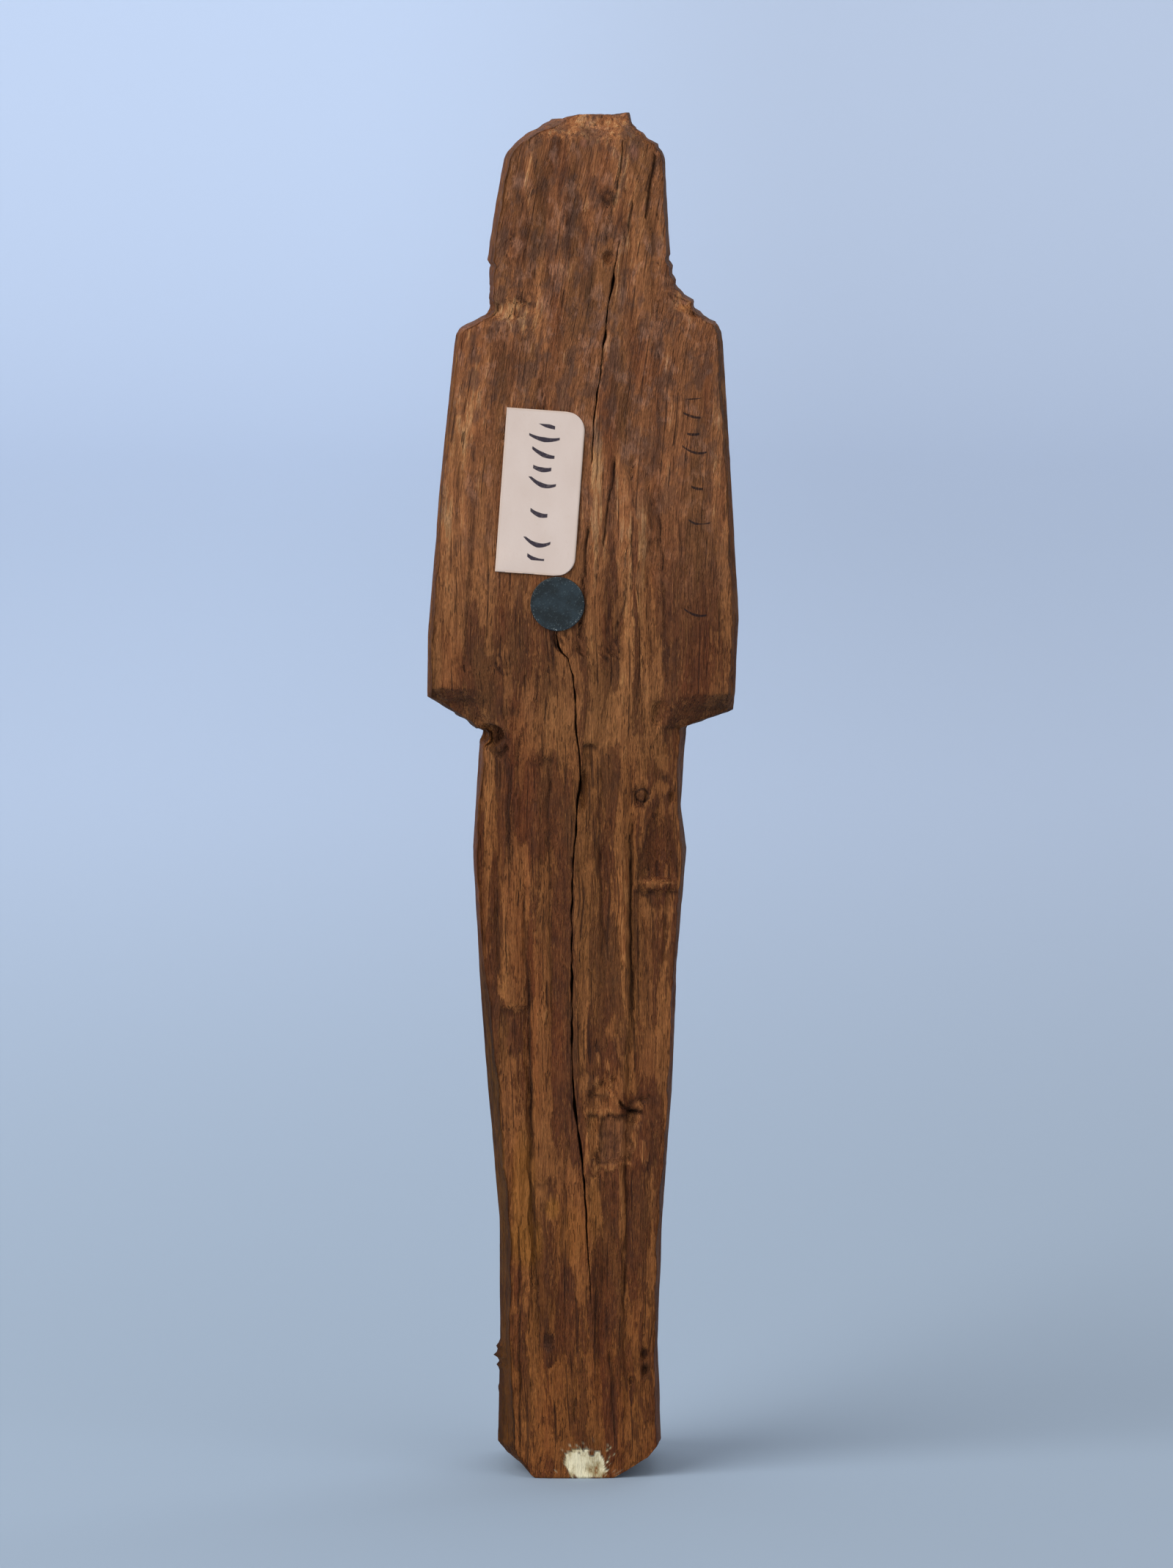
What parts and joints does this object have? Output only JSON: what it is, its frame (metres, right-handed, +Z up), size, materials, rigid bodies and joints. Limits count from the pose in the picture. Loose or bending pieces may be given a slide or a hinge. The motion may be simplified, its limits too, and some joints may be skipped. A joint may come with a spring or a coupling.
{
  "type": "ushabti figurine",
  "caption": "Carved wooden mummiform funerary figurine with crossed arms, standing on a flat underside, with a paper label and a round sticker on its back.",
  "frame": {"origin": "Middle of the flat underside of the feet.", "axes": "+Z up along the figure, -Y the way it faces, +Y its back, +X its own left side."},
  "size_m": [0.0366, 0.0251, 0.16],
  "materials": {
    "carved_wood": "aged bare wood, matte to slightly satin",
    "label_paper": "matte cream paper",
    "sticker_plastic": "matte dark blue-green"
  },
  "bodies": {
    "root": {"carved_figure": "carved_wood", "paper_label": "label_paper", "round_sticker": "sticker_plastic"}
  },
  "joints": []
}
